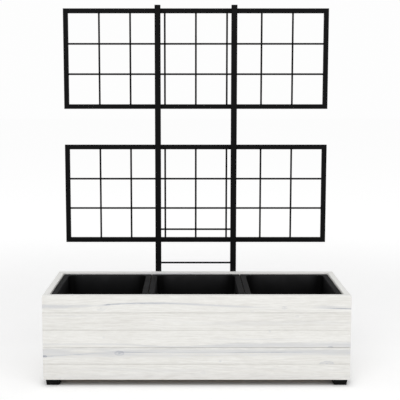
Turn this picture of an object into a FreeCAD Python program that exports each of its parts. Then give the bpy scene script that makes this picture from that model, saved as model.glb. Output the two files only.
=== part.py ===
import FreeCAD, Part
import math
import os

# Planter with trellis: a timber trough on four feet, three lift-out liners in it, and two posts bolted to
# its back that carry two rod-and-tube panels.
# Millimetres, +Z up, front towards -Y, +X to the right. The origin is on the ground, under the middle of the
# whole object.

V = FreeCAD.Vector
X_AXIS = V(1, 0, 0)
Y_AXIS = V(0, 1, 0)
Z_AXIS = V(0, 0, 1)

# ---- Trough ---------------------------------------------------------------------------------------------
box_length = 1200.0         # outside, left to right
box_depth = 430.0           # outside, front to back
board_thickness = 25.0
course_heights = [63.0, 66.5, 69.0, 69.5, 68.0]     # visible height of each course of boards, lowest first
joint_bevel = 1.2           # on the outer arris at each joint, so that a joint shows as a fine V
rim_bevel = 2.0             # on both arrises of the rim
end_bevel = 1.5             # on the upright arrises of the front and back boards
tongue_height = 6.0
tongue_thickness = 8.0
tongue_side_gap = 0.25      # between a tongue and each side of its groove
tongue_tip_gap = 0.5

# ---- Inner timber ---------------------------------------------------------------------------------------
upright_thickness = 20.0    # of the square corner posts and the battens, which the liners' flanges cover
batten_width = 40.0         # centred on the joint between two liners
bearer_width = 40.0
bearer_height = 30.0
floor_thickness = 12.0
floor_edge_gap = 1.5        # round each floor panel and the uprights that stand in its notches

# ---- Feet -----------------------------------------------------------------------------------------------
foot_height = 24.0
foot_top_width = 58.0
foot_sole_width = 51.0
foot_corner_radius = 5.0
foot_inset = 7.0            # from the trough's outer faces
foot_grip = 13.0            # plastic left under the heads of the foot's screws

# ---- Liners ---------------------------------------------------------------------------------------------
liner_recess = 7.0          # liner's top below the rim
liner_clearance = 2.0       # between a flange and the boards, and between two flanges
liner_wall = 3.0
liner_flange_corner_radius = 5.0
liner_lip_height = 8.0      # the flange's turned-down edge
liner_lip_wall = 2.5
liner_draft = 12.0          # how far each wall leans in from top to floor
liner_corner_radius = 26.0
liner_floor_radius = 10.0   # outside rounding between walls and floor
liner_seat_gap = 1.0        # between the lip and the timber below it
drain_hole_radius = 5.0
drain_hole_pitch = 150.0
floor_slot_radius = 9.0     # half the width of a floor panel's slots, each under two drain holes
floor_slot_margin = 12.0    # from a drain hole's centre to where its slot's rounded end begins

# ---- Trellis --------------------------------------------------------------------------------------------
post_size = 25.0            # square tube
post_wall = 2.0
post_corner_radius = 2.5
post_spacing = 328.5        # centre to centre
post_foot_gap = 30.0        # post's lower end above the trough's bottom edge
post_rise = 13.0            # post's end cap above the upper panel
bar_size = 20.0             # square tube of the panel frames
bar_wall = 1.5
bar_corner_radius = 2.0
panel_length = 1142.0
panel_height = 430.0
panel_gap = 156.0           # between the two panels
panel_lift = 125.0          # lower panel above the rim
rod_radius = 4.0
rod_pitch = 134.0           # of the three middle rods, and of the outer pair from the frame's inner face
level_rods = 2              # in each panel, evenly spaced
rung_pitch = 149.0
top_rung_rise = 60.0        # highest rung above the lower panel's lower edge
rung_end_margin = 20.0      # least height of a rung above the posts' lower ends
cap_plate = 2.5
cap_plug_gap = 0.2          # between the plug and the tube's inner faces
cap_plug_clearance = 3.0    # between the plug and the nearest panel screw

# ---- Fasteners ------------------------------------------------------------------------------------------
wood_screw_cover = 10.0     # timber left between a screw's point and a board's outer face
wood_screw_radius = 2.25
wood_screw_head_radius = 4.3
wood_screw_head_height = 2.6
wood_screw_tip = 5.0
driver_hole_radius = 5.2    # of the deep holes that a screw's head is sunk into
screw_shares = (0.25, 0.75)         # how far up a course its screws stand
foot_screw_shares = (0.27, 0.73)    # along the stretch of bearer over a foot
floor_screw_share = 0.36            # of a floor panel's length, from its middle
floor_screw_edge_distance = 8.0     # from a floor screw's centre to the notch round a batten
bearer_screw_share = 0.16
post_bolt_radius = 4.0
bolt_head_radius = 9.5
bolt_head_height = 4.5
bolt_head_sink_gap = 1.0
bolt_edge_distance = 18.0           # from the bolt's centre to the batten's edge
bolt_courses = (1, -1)              # the courses that the post bolts pass through
cap_nut_flats = 13.0
cap_nut_height = 8.0
cap_nut_washer_radius = 9.0
cap_nut_washer_height = 1.8
panel_screw_radius = 2.5
panel_screw_head_radius = 4.75
panel_screw_head_height = 2.5
panel_screw_socket_flats = 3.0
panel_screw_socket_depth = 1.5
panel_screw_tail = 1.5              # beyond the post's wall

# ---- Places worked out from the sizes -------------------------------------------------------------------
inner_length = box_length - 2 * board_thickness
inner_depth = box_depth - 2 * board_thickness
box_bottom = foot_height
rim_z = box_bottom + sum(course_heights)
course_bottoms = [box_bottom + sum(course_heights[:i]) for i in range(len(course_heights))]
course_middles = [z + h / 2 for z, h in zip(course_bottoms, course_heights)]

overall_depth = box_depth + post_size + bar_size + panel_screw_head_height
front_y = -overall_depth / 2
back_y = front_y + box_depth
box_mid_y = front_y + box_depth / 2
post_mid_y = back_y + post_size / 2
post_back_y = back_y + post_size
bar_mid_y = post_back_y + bar_size / 2
bar_back_y = post_back_y + bar_size

bearer_top = box_bottom + bearer_height
floor_top = bearer_top + floor_thickness
liner_top = rim_z - liner_recess
liner_height = liner_top - floor_top
upright_top = liner_top - liner_lip_height - liner_seat_gap
liner_flange_width = upright_thickness

liner_length = (inner_length - 4 * liner_clearance) / 3
liner_depth = inner_depth - 2 * liner_clearance
liner_pitch = liner_length + liner_clearance
liner_joint_x = liner_pitch / 2
post_x = post_spacing / 2

lower_panel_z = rim_z + panel_lift
upper_panel_z = lower_panel_z + panel_height + panel_gap
post_bottom_z = box_bottom + post_foot_gap
post_top_z = upper_panel_z + panel_height + post_rise - cap_plate
top_rung_z = lower_panel_z + top_rung_rise
rung_count = int((top_rung_z - post_bottom_z - rung_end_margin) // rung_pitch) + 1
rung_zs = [top_rung_z - i * rung_pitch for i in range(rung_count)]

sides = {"left": -1, "right": 1}
ends = {"front": -1, "back": 1}
thirds = {"left": -1, "middle": 0, "right": 1}


# ---- Shapes ---------------------------------------------------------------------------------------------
def block(x0, x1, y0, y1, z0, z1):
    """A block between three pairs of coordinates."""
    return Part.makeBox(x1 - x0, y1 - y0, z1 - z0, V(x0, y0, z0))


def centred_block(x, y, width, depth, z0, z1):
    """An upright block with its middle over (x, y)."""
    return block(x - width / 2, x + width / 2, y - depth / 2, y + depth / 2, z0, z1)


def rod(start, direction, length, radius):
    return Part.makeCylinder(radius, length, start, direction)


def prism(points, sweep):
    """The polygon through the points, carried along the sweep vector."""
    return Part.Face(Part.makePolygon(points + points[:1])).extrude(sweep)


def turned(edges):
    """A solid turned about the Z axis from the edges of its half section."""
    return Part.Face(Part.Wire(edges)).revolve(V(0, 0, 0), Z_AXIS, 360)


def rounded_rectangle(half_x, half_y, radius, z):
    """A level rectangle centred on the Z axis, its corners rounded by quarter circles."""
    edges = []
    slant = radius * math.sqrt(0.5)
    corners = [(1, 1), (-1, 1), (-1, -1), (1, -1)]
    for (sx, sy), (nx, ny) in zip(corners, corners[1:] + corners[:1]):
        cx = sx * (half_x - radius)
        cy = sy * (half_y - radius)
        ends_here = [V(cx + sx * radius, cy, z), V(cx, cy + sy * radius, z)]
        if sx != sy:
            ends_here.reverse()
        middle = V(cx + sx * slant, cy + sy * slant, z)
        edges.append(Part.Arc(ends_here[0], middle, ends_here[1]).toShape())
        if sx == sy:
            following = V(nx * (half_x - radius), ny * half_y, z)
        else:
            following = V(nx * half_x, ny * (half_y - radius), z)
        edges.append(Part.makeLine(ends_here[1], following))
    return Part.Wire(edges)


def square_tube(size, wall, radius, length):
    """A square tube along Z from z = 0, its outer corners rounded."""
    outer = Part.Face(rounded_rectangle(size / 2, size / 2, radius, 0))
    inner = Part.Face(rounded_rectangle(size / 2 - wall, size / 2 - wall, radius - wall / 2, 0))
    return outer.cut(inner).extrude(V(0, 0, length))


def aimed(shape, place, direction):
    """A fastener made pointing down from the origin, set at its place and pointed along the direction."""
    shape = shape.copy()
    shape.Placement = FreeCAD.Placement(place, FreeCAD.Rotation(V(0, 0, -1), direction))
    return shape


def drilled(shape, fasteners):
    """The shape with a hole for each fastener that reaches it."""
    near = [f for f in fasteners if f.BoundBox.intersect(shape.BoundBox)]
    return shape.cut(Part.makeCompound(near)) if near else shape


# ---- Fasteners ------------------------------------------------------------------------------------------
wood_screw_length = upright_thickness + board_thickness - wood_screw_cover


def wood_screw():
    points = [
        V(0, 0, 0),
        V(wood_screw_head_radius, 0, 0),
        V(wood_screw_radius, 0, -wood_screw_head_height),
        V(wood_screw_radius, 0, wood_screw_tip - wood_screw_length),
        V(0, 0, -wood_screw_length),
    ]
    return turned(Part.makePolygon(points + points[:1]).Edges)


def domed_screw(head_radius, head_height, shank_radius, length):
    """A head shaped as part of a sphere, its underside at z = 0, and a plain shank below it."""
    rim = V(head_radius, 0, 0)
    crown = V(0, 0, head_height)
    dome_radius = (head_radius ** 2 + head_height ** 2) / (2 * head_height)
    half_angle = math.asin(head_radius / dome_radius) / 2
    drop = dome_radius - head_height
    between = V(dome_radius * math.sin(half_angle), 0, dome_radius * math.cos(half_angle) - drop)
    shank = [crown, V(0, 0, -length), V(shank_radius, 0, -length), V(shank_radius, 0, 0), rim]
    return turned([Part.Arc(rim, between, crown).toShape()] + Part.makePolygon(shank).Edges)


def hexagon(flats, height, z):
    """A hexagonal prism on the Z axis, from z upwards."""
    reach = flats / math.sqrt(3)
    angles = [math.radians(60 * i) for i in range(6)]
    return prism([V(reach * math.cos(a), reach * math.sin(a), z) for a in angles], V(0, 0, height))


def cap_nut():
    """A washer, a hexagon and a dome in one piece, seated on the plane z = 0 and pointing down from it."""
    hexagon_end = -cap_nut_washer_height - cap_nut_height
    washer = rod(V(0, 0, -cap_nut_washer_height), Z_AXIS, cap_nut_washer_height, cap_nut_washer_radius)
    nut = hexagon(cap_nut_flats, cap_nut_height, hexagon_end)
    dome = Part.makeSphere(cap_nut_flats / 2, V(0, 0, hexagon_end))
    thread = rod(V(0, 0, hexagon_end), Z_AXIS, -hexagon_end, post_bolt_radius)
    return washer.fuse([nut, dome]).removeSplitter().cut(thread)


def panel_screw():
    """A button head with a hexagonal socket, on a shank that ends inside the post's wall."""
    length = bar_size + post_wall + panel_screw_tail
    screw = domed_screw(panel_screw_head_radius, panel_screw_head_height, panel_screw_radius, length)
    socket = hexagon(panel_screw_socket_flats, panel_screw_socket_depth,
                     panel_screw_head_height - panel_screw_socket_depth)
    return screw.cut(socket)


# ---- Boards ---------------------------------------------------------------------------------------------
def board(course, length, square_ends):
    """A board of one course, along X and centred on it, its outer face at y = 0 and its lower edge at z = 0.

    Every course but the rim has a tongue on its upper edge, and every course but the lowest has the groove
    for the tongue below it.
    """
    height = course_heights[course]
    rim = course == len(course_heights) - 1
    middle = board_thickness / 2
    tongue = tongue_thickness / 2
    groove = tongue + tongue_side_gap
    groove_depth = tongue_height + tongue_tip_gap
    top_bevel = rim_bevel if rim else joint_bevel
    section = [(0, joint_bevel), (joint_bevel, 0)]
    if course > 0:
        section += [(middle - groove, 0), (middle - groove, groove_depth)]
        section += [(middle + groove, groove_depth), (middle + groove, 0)]
    section += [(board_thickness, 0)]
    if rim:
        section += [(board_thickness, height - rim_bevel), (board_thickness - rim_bevel, height)]
    else:
        section += [(board_thickness, height), (middle + tongue, height)]
        section += [(middle + tongue, height + tongue_height), (middle - tongue, height + tongue_height)]
        section += [(middle - tongue, height)]
    section += [(top_bevel, height), (0, height - top_bevel)]
    solid = prism([V(-length / 2, y, z) for y, z in section], V(length, 0, 0))
    if square_ends:
        return solid
    plan = [
        V(-length / 2, board_thickness, 0),
        V(-length / 2, end_bevel, 0),
        V(-length / 2 + end_bevel, 0, 0),
        V(length / 2 - end_bevel, 0, 0),
        V(length / 2, end_bevel, 0),
        V(length / 2, board_thickness, 0),
    ]
    return solid.common(prism(plan, V(0, 0, height + tongue_height)))


def placed_board(wall, course):
    """A board of the front, back, left or right wall."""
    if wall in ends:
        solid = board(course, box_length, False)
        turn = 0 if wall == "front" else 180
        place = V(0, box_mid_y + ends[wall] * box_depth / 2, course_bottoms[course])
    else:
        solid = board(course, inner_depth, True)
        turn = -90 if wall == "left" else 90
        place = V(sides[wall] * box_length / 2, box_mid_y, course_bottoms[course])
    solid.rotate(V(0, 0, 0), Z_AXIS, turn)
    solid.translate(place)
    return solid


# ---- Inner timber ---------------------------------------------------------------------------------------
upright_x = inner_length / 2 - upright_thickness / 2
upright_dy = inner_depth / 2 - upright_thickness / 2
bearer_dy = inner_depth / 2 - bearer_width / 2
batten_inner_x = liner_joint_x - batten_width / 2
back_batten_inner_x = min(batten_inner_x, post_x - bolt_edge_distance)


def corner_post(end, side):
    y = box_mid_y + ends[end] * upright_dy
    return centred_block(sides[side] * upright_x, y, upright_thickness, upright_thickness,
                         bearer_top, upright_top)


def batten(end, side):
    """A batten behind a liner joint. At the back it is widened to take the bolts of the trellis post."""
    inner_x = batten_inner_x
    outer_x = liner_joint_x + batten_width / 2
    if end == "back":
        inner_x = back_batten_inner_x
        outer_x = max(outer_x, post_x + bolt_edge_distance)
    x = sides[side] * (inner_x + outer_x) / 2
    y = box_mid_y + ends[end] * upright_dy
    return centred_block(x, y, outer_x - inner_x, upright_thickness, bearer_top, upright_top)


def bearer(end):
    y = box_mid_y + ends[end] * bearer_dy
    return centred_block(0, y, inner_length, bearer_width, box_bottom, bearer_top)


floor_panel_length = inner_length / 3 - 2 * floor_edge_gap
floor_panel_depth = inner_depth - 2 * floor_edge_gap


def floor_slot(x):
    """A round-ended slot through a floor panel, under two of a liner's drain holes."""
    reach = drain_hole_pitch / 2 + floor_slot_margin
    slot = centred_block(x, box_mid_y, 2 * floor_slot_radius, 2 * reach, bearer_top, floor_top)
    for s in (-1, 1):
        slot_end = V(x, box_mid_y + s * reach, bearer_top)
        slot = slot.fuse(rod(slot_end, Z_AXIS, floor_thickness, floor_slot_radius))
    return slot


def floor_panel(third):
    """A floor panel under one liner, notched round the uprights and slotted under the drain holes."""
    x = thirds[third] * inner_length / 3
    panel = centred_block(x, box_mid_y, floor_panel_length, floor_panel_depth, bearer_top, floor_top)
    notches = []
    for end in ends:
        for side in sides:
            for upright in (corner_post(end, side), batten(end, side)):
                b = upright.BoundBox
                gap = floor_edge_gap
                notches.append(block(b.XMin - gap, b.XMax + gap, b.YMin - gap, b.YMax + gap,
                                     bearer_top, floor_top))
    for s in (-1, 1):
        notches.append(floor_slot(thirds[third] * liner_pitch + s * drain_hole_pitch / 2))
    return panel.cut(Part.makeCompound(notches))


# ---- Feet -----------------------------------------------------------------------------------------------
foot_dx = box_length / 2 - foot_inset - foot_top_width / 2
foot_dy = box_depth / 2 - foot_inset - foot_top_width / 2


def foot(end, side):
    """A block that narrows towards its sole, with rounded corners."""
    sole = rounded_rectangle(foot_sole_width / 2, foot_sole_width / 2, foot_corner_radius, 0)
    top = rounded_rectangle(foot_top_width / 2, foot_top_width / 2, foot_corner_radius, foot_height)
    solid = Part.makeLoft([sole, top], True, True)
    solid.translate(V(sides[side] * foot_dx, box_mid_y + ends[end] * foot_dy, 0))
    return solid


# ---- Liners ---------------------------------------------------------------------------------------------
drain_places = [(sx * drain_hole_pitch / 2, sy * drain_hole_pitch / 2) for sx in (-1, 1) for sy in (-1, 1)]


def tub_section(z, offset):
    """The liner's wall line at height z, moved inwards by the offset."""
    lean = liner_draft * (liner_top - z) / liner_height
    half_x = liner_length / 2 - liner_flange_width - lean - offset
    half_y = liner_depth / 2 - liner_flange_width - lean - offset
    return rounded_rectangle(half_x, half_y, liner_corner_radius - offset, z)


def tub(bottom, top, offset, floor_radius):
    """A tapered solid between two heights, rounded round its floor."""
    solid = Part.makeLoft([tub_section(bottom, offset), tub_section(top, offset)], True, True)
    floor_edges = [e for e in solid.Edges if e.BoundBox.ZMax < bottom + 0.01]
    return solid.makeFillet(floor_radius, floor_edges)


def flange_block(inset, z0, z1):
    radius = max(liner_flange_corner_radius - inset, liner_flange_corner_radius / 4)
    outline = rounded_rectangle(liner_length / 2 - inset, liner_depth / 2 - inset, radius, z0)
    return Part.Face(outline).extrude(V(0, 0, z1 - z0))


def liner(third):
    """A tub with tapered walls and a flanged rim with a turned-down edge."""
    lip_bottom = liner_top - liner_lip_height
    plate_bottom = liner_top - liner_wall
    under_flange = flange_block(liner_lip_wall, lip_bottom, plate_bottom)
    flange = flange_block(0, lip_bottom, liner_top).cut(under_flange)
    outside = tub(floor_top, liner_top, 0, liner_floor_radius)
    inside = tub(floor_top + liner_wall, liner_top, liner_wall, liner_floor_radius - liner_wall)
    holes = [rod(V(dx, dy, floor_top), Z_AXIS, liner_wall, drain_hole_radius) for dx, dy in drain_places]
    solid = flange.fuse(outside).removeSplitter().cut(Part.makeCompound([inside] + holes))
    solid.translate(V(thirds[third] * liner_pitch, box_mid_y, 0))
    return solid


# ---- Trellis --------------------------------------------------------------------------------------------
def trellis_post(side):
    solid = square_tube(post_size, post_wall, post_corner_radius, post_top_z - post_bottom_z)
    solid.translate(V(sides[side] * post_x, post_mid_y, post_bottom_z))
    return solid


cap_plug_length = bar_size / 2 + post_rise - cap_plate - panel_screw_radius - cap_plug_clearance


def post_end_cap(side, top):
    """A plate over the tube's end and a plug inside it, which stops short of the highest panel screw."""
    plate_wire = rounded_rectangle(post_size / 2, post_size / 2, post_corner_radius, 0)
    plug_size = post_size - 2 * post_wall - 2 * cap_plug_gap
    plug_wire = rounded_rectangle(plug_size / 2, plug_size / 2, post_corner_radius - post_wall / 2,
                                  -cap_plug_length)
    plate = Part.Face(plate_wire).extrude(V(0, 0, cap_plate))
    solid = plate.fuse(Part.Face(plug_wire).extrude(V(0, 0, cap_plug_length)))
    if not top:
        solid.rotate(V(0, 0, 0), X_AXIS, 180)
    solid.translate(V(sides[side] * post_x, post_mid_y, post_top_z if top else post_bottom_z))
    return solid


def ladder_rung(z):
    clear = post_spacing - post_size
    return rod(V(-clear / 2, post_mid_y, z), X_AXIS, clear, rod_radius)


def mitred_bar(length):
    """A square tube along X, its long side on z = 0, cut at 45 degrees at both ends."""
    tube = square_tube(bar_size, bar_wall, bar_corner_radius, length)
    tube.rotate(V(0, 0, 0), Y_AXIS, 90)
    tube.translate(V(-length / 2, 0, bar_size / 2))
    half = length / 2
    mitres = [
        V(-half, -bar_size / 2, 0),
        V(half, -bar_size / 2, 0),
        V(half - bar_size, -bar_size / 2, bar_size),
        V(bar_size - half, -bar_size / 2, bar_size),
    ]
    return tube.common(prism(mitres, V(0, bar_size, 0)))


def panel_bars(panel_z):
    """The four bars of a panel's frame, by the side that each is on, their long sides outwards."""
    middle_z = panel_z + panel_height / 2
    placing = {
        "bottom_bar": (panel_length, 0, V(0, bar_mid_y, panel_z)),
        "top_bar": (panel_length, 180, V(0, bar_mid_y, panel_z + panel_height)),
        "left_bar": (panel_height, 90, V(-panel_length / 2, bar_mid_y, middle_z)),
        "right_bar": (panel_height, -90, V(panel_length / 2, bar_mid_y, middle_z)),
    }
    bars = {}
    for name, (length, turn, place) in placing.items():
        bars[name] = mitred_bar(length)
        bars[name].rotate(V(0, 0, 0), Y_AXIS, turn)
        bars[name].translate(place)
    return bars


clear_length = panel_length - 2 * bar_size
clear_height = panel_height - 2 * bar_size
outer_rod_x = clear_length / 2 - rod_pitch
rod_xs = [0, rod_pitch, outer_rod_x - rod_pitch, outer_rod_x]
vertical_rod_xs = sorted({s * x for x in rod_xs for s in (-1, 1)})
level_rod_step = clear_height / (level_rods + 1)


def vertical_rods(panel_z):
    """Upright rods in front of the panel's middle plane, so that they pass before the level ones."""
    starts = [V(x, bar_mid_y - rod_radius, panel_z + bar_size) for x in vertical_rod_xs]
    return [rod(start, Z_AXIS, clear_height, rod_radius) for start in starts]


def horizontal_rods(panel_z):
    heights = [panel_z + bar_size + level_rod_step * (i + 1) for i in range(level_rods)]
    starts = [V(-clear_length / 2, bar_mid_y + rod_radius, z) for z in heights]
    return [rod(start, X_AXIS, clear_length, rod_radius) for start in starts]


# ---- Where the fasteners go -----------------------------------------------------------------------------
def course_screw_heights():
    """For each course, the lower and the upper height of its screws, within the uprights' length."""
    heights = []
    for low, high in zip(course_bottoms, course_bottoms[1:] + [rim_z]):
        foot_z = max(low, bearer_top)
        reach = min(high, upright_top) - foot_z
        heights.append([foot_z + reach * share for share in screw_shares])
    return heights


def upright_screws(sx, ey):
    """The screws of one corner post, into both walls, and of the batten beside it."""
    outwards_x = V(sx, 0, 0)
    outwards_y = V(0, ey, 0)
    post_face_x = sx * (inner_length / 2 - upright_thickness)
    face_y = box_mid_y + ey * (inner_depth / 2 - upright_thickness)
    places = []
    for lower_z, upper_z in course_screw_heights():
        places.append((V(sx * upright_x, face_y, upper_z), outwards_y, 0))
        places.append((V(post_face_x, box_mid_y + ey * upright_dy, lower_z), outwards_x, 0))
        places.append((V(sx * liner_joint_x, face_y, lower_z), outwards_y, 0))
    return places


def foot_screws(sx, ey):
    foot_inner_x = foot_dx - foot_top_width / 2
    overlap = inner_length / 2 - foot_inner_x
    y = box_mid_y + ey * bearer_dy
    sink = max(foot_height - foot_grip, 0)
    return [(V(sx * (foot_inner_x + overlap * share), y, 0), Z_AXIS, sink) for share in foot_screw_shares]


floor_screw_dx = min(floor_panel_length * floor_screw_share,
                     back_batten_inner_x - floor_edge_gap - floor_screw_edge_distance)


def floor_screws(panel_x, ey):
    """The screws down through a floor panel into a bearer, and those from the bearer into the wall."""
    face_y = box_mid_y + ey * (inner_depth / 2 - bearer_width)
    middle_z = box_bottom + bearer_height / 2
    sink = bearer_width - upright_thickness
    places = []
    for s in (-1, 1):
        floor_x = panel_x + s * floor_screw_dx
        bearer_x = panel_x + s * floor_panel_length * bearer_screw_share
        places.append((V(floor_x, box_mid_y + ey * bearer_dy, floor_top), V(0, 0, -1), 0))
        places.append((V(bearer_x, face_y, middle_z), V(0, ey, 0), sink))
    return places


def screw_places():
    """Each wood screw as the place of its hole's mouth, its direction, and how deep its head is sunk."""
    places = []
    for ey in ends.values():
        for sx in sides.values():
            places += upright_screws(sx, ey) + foot_screws(sx, ey)
        for third in thirds.values():
            places += floor_screws(third * inner_length / 3, ey)
    return places


def driven(places):
    """The screws of these places, and the holes through which the sunk ones are reached."""
    screws = []
    access = []
    for place, direction, sink in places:
        screws.append(aimed(wood_screw(), place + direction * sink, direction))
        if sink:
            access.append(rod(place, direction, sink, driver_hole_radius))
    return screws, access


bolt_seat_y = back_y - board_thickness - upright_thickness + bolt_head_height
bolt_length = post_back_y - bolt_seat_y + cap_nut_washer_height + cap_nut_height
bolt_places = [V(s * post_x, bolt_seat_y, course_middles[c]) for s in (-1, 1) for c in bolt_courses]
bar_middles = [z + bar_size / 2 + dz for z in (lower_panel_z, upper_panel_z)
               for dz in (0, panel_height - bar_size)]
panel_screw_places = [V(s * post_x, bar_back_y, z) for s in (-1, 1) for z in bar_middles]


# ---- The pieces -----------------------------------------------------------------------------------------
def make_parts():
    screws, access = driven(screw_places())
    bolt = domed_screw(bolt_head_radius, bolt_head_height, post_bolt_radius, bolt_length)
    bolts = [aimed(bolt, p, Y_AXIS) for p in bolt_places]
    head_sinks = [rod(p - Y_AXIS * bolt_head_height, Y_AXIS, bolt_head_height,
                      bolt_head_radius + bolt_head_sink_gap) for p in bolt_places]
    panel_screws = [aimed(panel_screw(), p, V(0, -1, 0)) for p in panel_screw_places]
    in_timber = screws + access + bolts + head_sinks

    parts = {}
    for wall in ("front", "back", "left", "right"):
        for course in range(len(course_heights)):
            parts[f"{wall}_board_{course + 1}"] = drilled(placed_board(wall, course), in_timber)
    for end in ends:
        parts[f"{end}_bearer"] = drilled(bearer(end), in_timber)
        for side in sides:
            parts[f"corner_post_{end}_{side}"] = drilled(corner_post(end, side), in_timber)
            parts[f"{end}_batten_{side}"] = drilled(batten(end, side), in_timber)
            parts[f"foot_{end}_{side}"] = drilled(foot(end, side), in_timber)
    for third in thirds:
        parts[f"floor_panel_{third}"] = drilled(floor_panel(third), in_timber)
        parts[f"liner_{third}"] = liner(third)

    for side in sides:
        parts[f"trellis_post_{side}"] = drilled(trellis_post(side), bolts + panel_screws)
    end_caps = [post_end_cap(side, top) for side in sides for top in (True, False)]
    parts["post_end_caps"] = Part.makeCompound(end_caps)
    parts["ladder_rungs"] = Part.makeCompound([ladder_rung(z) for z in rung_zs])
    for panel, panel_z in (("lower_panel", lower_panel_z), ("upper_panel", upper_panel_z)):
        for name, bar in panel_bars(panel_z).items():
            parts[f"{panel}_{name}"] = drilled(bar, panel_screws)
        parts[f"{panel}_vertical_rods"] = Part.makeCompound(vertical_rods(panel_z))
        parts[f"{panel}_horizontal_rods"] = Part.makeCompound(horizontal_rods(panel_z))

    nuts = [aimed(cap_nut(), V(p.x, post_back_y, p.z), Y_AXIS) for p in bolt_places]
    parts["wood_screws"] = Part.makeCompound(screws)
    parts["post_bolts"] = Part.makeCompound(bolts)
    parts["post_cap_nuts"] = Part.makeCompound(nuts)
    parts["panel_screws"] = Part.makeCompound(panel_screws)
    return parts


def write_parts(parts):
    os.makedirs("parts", exist_ok=True)
    for name, shape in parts.items():
        if not shape.isValid() or not shape.Solids:
            raise ValueError(f"{name} isn't a valid solid")
        shape.exportStep(f"parts/{name}.step")


write_parts(make_parts())
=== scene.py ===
"""Planter with trellis: a whitewashed timber trough with three lift-out liners, and two rod-and-tube panels
on posts behind it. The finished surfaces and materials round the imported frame, and the studio.
Metres, +Z up, front towards -Y, +X to the right, the origin on the ground under the middle."""

import math

import bpy
import numpy as np
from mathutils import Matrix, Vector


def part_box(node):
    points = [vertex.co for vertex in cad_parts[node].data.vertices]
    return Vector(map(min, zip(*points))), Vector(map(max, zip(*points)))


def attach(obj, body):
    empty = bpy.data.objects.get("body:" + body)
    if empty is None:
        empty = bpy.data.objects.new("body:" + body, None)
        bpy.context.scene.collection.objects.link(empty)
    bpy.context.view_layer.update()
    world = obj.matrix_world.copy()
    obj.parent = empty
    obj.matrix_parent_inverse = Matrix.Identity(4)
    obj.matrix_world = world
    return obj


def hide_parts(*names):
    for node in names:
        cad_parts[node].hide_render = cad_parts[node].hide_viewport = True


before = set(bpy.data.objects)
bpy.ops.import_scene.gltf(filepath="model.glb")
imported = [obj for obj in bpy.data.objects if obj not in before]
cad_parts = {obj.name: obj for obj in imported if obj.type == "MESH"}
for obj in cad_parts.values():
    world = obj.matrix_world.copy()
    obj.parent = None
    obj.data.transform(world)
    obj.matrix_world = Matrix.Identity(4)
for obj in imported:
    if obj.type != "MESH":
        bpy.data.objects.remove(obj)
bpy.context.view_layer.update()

bl_info = {
    "name": "Planter with trellis",
    "version": (1, 0, 0),
    "blender": (4, 5, 0),
    "location": "3D View > Sidebar > Planter",
    "description": "Finished surfaces, materials and studio for a timber planter with a steel trellis",
    "category": "Object",
}

ROOT = "trough_and_trellis"
MM = 0.001

# ---- Sizes the pieces share with the frame's solids ----
TONGUE_HEIGHT = 6.0 * MM
TONGUE_HALF = 4.0 * MM
GROOVE_HALF = 4.25 * MM
GROOVE_DEPTH = 6.5 * MM
COURSES = 5
FLANGE_WIDTH = 20.0 * MM
LINER_WALL = 3.0 * MM
LIP_WALL = 2.5 * MM
LIP_HEIGHT = 8.0 * MM
LINER_DRAFT = 12.0 * MM
LINER_CORNER = 26.0 * MM
FLANGE_CORNER = 5.0 * MM
LINER_FLOOR_RADIUS = 10.0 * MM
DRAIN_RADIUS = 5.0 * MM
DRAIN_HALF_PITCH = 75.0 * MM
POST_WALL = 2.0 * MM
POST_CORNER = 2.5 * MM
BAR_WALL = 1.5 * MM
BAR_CORNER = 2.0 * MM
BAR_SIZE = 20.0 * MM
ROD_RADIUS = 4.0 * MM
ROD_XS = np.array([-417.0, -283.0, -134.0, 0.0, 134.0, 283.0, 417.0]) * MM
LEVEL_RODS = 2
RUNG_PITCH = 149.0 * MM
CAP_PLATE = 2.5 * MM
CAP_PLUG_SIZE = 20.6 * MM
CAP_PLUG_LENGTH = 15.0 * MM
FOOT_TAPER = 3.5 * MM
FOOT_CORNER = 5.0 * MM
BAR_CREASE = 25.0
SPOT_WELD = (3.0 * MM, 1.1 * MM, 3.0 * MM)
SIDES = {"left": -1, "right": 1}
ENDS = ("front", "back")

# ---- Looks ----
FIRST_SEED = 40
SEAM_WIDTH = 1.6 * MM
TIMBER_SPECULAR = 0.3
# The inner pieces' materials: name, axes along and across the log, and words in the names of their nodes.
INNER_TIMBER = (("upright timber", "ZXY", ("corner_post", "batten")), ("bearer timber", "XZY", ("bearer",)),
                ("floor timber", "YXZ", ("floor_panel",)))
# From an inner piece's middle to the heart of its log.
HEART_AWAY = (0.4, 0.037, 0.071)
# Painted shade inside a liner, a factor on its colour: its value at the bottom, the painted light that the
# rim adds to it, and how deep that reaches.
LINER_PAINTED_LIGHT_AT_BOTTOM = 0.10
LINER_PAINTED_LIGHT_AT_RIM = 2.1
LINER_PAINTED_LIGHT_REACH = 35.0 * MM
# The painted shade in the corners and on the end walls, which face sideways, and how far along a wall a
# corner's painted shade reaches.
CORNER_PAINTED_SHADE = 0.85
CORNER_PAINTED_SHADE_REACH = 0.38
END_WALL_PAINTED_SHADE = 0.4
WHITE = (1.0, 1.0, 1.0, 1.0)
BACKDROP = 0.985
FLOOR_TO_LIGHT = 0.80
# Smooth steps (from, to, value at from, value at to) by the distance past the box's outline, in metres: the
# painted shadow on the floor under the box, and the light that the floor gives to the camera, a glow that
# is weaker near the box and so paints a soft shadow round it.
UNDER_SHADE = ((-0.022, 0.0, 0.45, 1.0), (-0.07, -0.025, 0.4, 0.0))
FLOOR_GLOW = ((0.0, 0.02, 0.0, 0.08), (0.8, 3.5, 0.0, 0.15))
KEY_PLACE = (-1.2, -4.0, 3.2)
FILL_PLACE = (2.6, -3.0, 2.4)
FILL_SHARE = 0.5
LAMP_SIZE = 3.0
LAMP_AIM = np.array([0.0, 0.0, 0.6])


# ---- Settings ----
def length(description, default, low=0.0):
    return bpy.props.FloatProperty(description=description, default=default, min=low, unit="LENGTH",
                                   subtype="DISTANCE", precision=4)


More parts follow.
